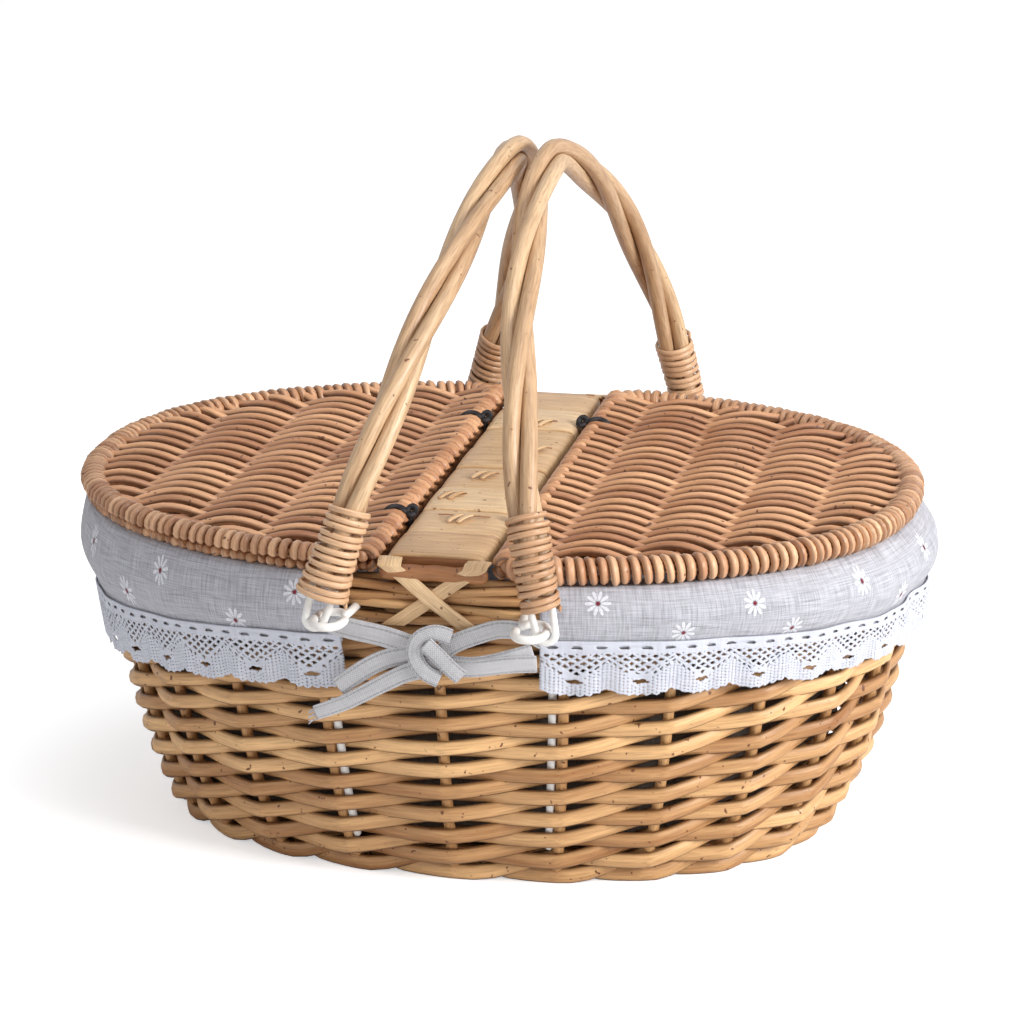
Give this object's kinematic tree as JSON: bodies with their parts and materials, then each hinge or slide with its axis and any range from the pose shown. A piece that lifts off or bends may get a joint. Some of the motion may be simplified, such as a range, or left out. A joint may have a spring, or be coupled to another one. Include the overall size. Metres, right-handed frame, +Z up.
{
  "type": "picnic basket",
  "caption": "Oval woven willow picnic basket with two lids hinged on a fixed bridge, two twisted swing handles, and a cloth liner with a lace hem tied by tapes.",
  "frame": {"origin": "centre of the base on the ground, under the middle of the bridge", "axes": "+Z up, +X along the long side towards the right lid, -Y the front with the tape bow seen in the picture"},
  "size_m": [0.42, 0.3806, 0.3404],
  "materials": {
    "willow": "dry, matt golden willow, lightly varnished",
    "reed": "matt reddish tan split reed",
    "peeled_willow": "smooth pale peeled willow",
    "straw": "pale flat wood chip, slightly silky",
    "cane": "smooth tan cane",
    "linen": "grey cotton cloth with small white daisies",
    "lace": "white crochet lace",
    "tape": "light grey woven tape",
    "white_coating": "white plastic-coated wire",
    "dark_cord": "near-black cord"
  },
  "bodies": {
    "basket": {"base": "willow", "stake_frame": "willow", "wall_weaver_1": "willow", "wall_weaver_2": "willow", "wall_weaver_3": "willow", "wall_weaver_4": "willow", "wall_weaver_5": "willow", "wall_weaver_6": "willow", "rim_border": "willow", "bridge_rail_left": "peeled_willow", "bridge_rail_right": "peeled_willow", "bridge_end_rod_front": "cane", "bridge_end_rod_back": "cane", "bridge_panel": "straw", "lashing_front": "straw", "lashing_back": "straw", "eye_front_left": "white_coating", "eye_front_right": "white_coating", "eye_back_left": "white_coating", "eye_back_right": "white_coating", "liner_bag": "linen", "liner_skirt_left": "linen", "liner_skirt_right": "linen", "lace_trim_left": "lace", "lace_trim_right": "lace", "tape_bow_front": "tape", "tape_bow_back": "tape", "left_hinge_tie_front": "dark_cord", "left_hinge_tie_back": "dark_cord", "right_hinge_tie_front": "dark_cord", "right_hinge_tie_back": "dark_cord"},
    "left_lid": {"left_lid_frame": "reed", "left_lid_weave": "reed"},
    "left_handle": {"left_handle_rod_1": "peeled_willow", "left_handle_rod_2": "peeled_willow", "left_handle_rod_3": "peeled_willow", "left_handle_whipping_front": "cane", "left_handle_whipping_back": "cane", "left_handle_link_front": "white_coating", "left_handle_link_back": "white_coating"},
    "right_lid": {"right_lid_frame": "reed", "right_lid_weave": "reed"},
    "right_handle": {"right_handle_rod_1": "peeled_willow", "right_handle_rod_2": "peeled_willow", "right_handle_rod_3": "peeled_willow", "right_handle_whipping_front": "cane", "right_handle_whipping_back": "cane", "right_handle_link_front": "white_coating", "right_handle_link_back": "white_coating"}
  },
  "joints": [
    {"name": "left_lid_hinge", "type": "hinge", "parent": "basket", "child": "left_lid", "pos_m": [-0.033, 0, 0.1707], "axis": [0, 1, 0], "range_deg": [0, 80]},
    {"name": "right_lid_hinge", "type": "hinge", "parent": "basket", "child": "right_lid", "pos_m": [0.033, 0, 0.1707], "axis": [0, -1, 0], "range_deg": [0, 65]},
    {"name": "left_handle_swing", "type": "hinge", "parent": "basket", "child": "left_handle", "pos_m": [-0.051, 0, 0.149], "axis": [0, -1, 0], "range_deg": [0, 140]},
    {"name": "right_handle_swing", "type": "hinge", "parent": "basket", "child": "right_handle", "pos_m": [0.0635, 0, 0.149], "axis": [0.0367, 0.9993, 0], "range_deg": [0, 140]}
  ]
}
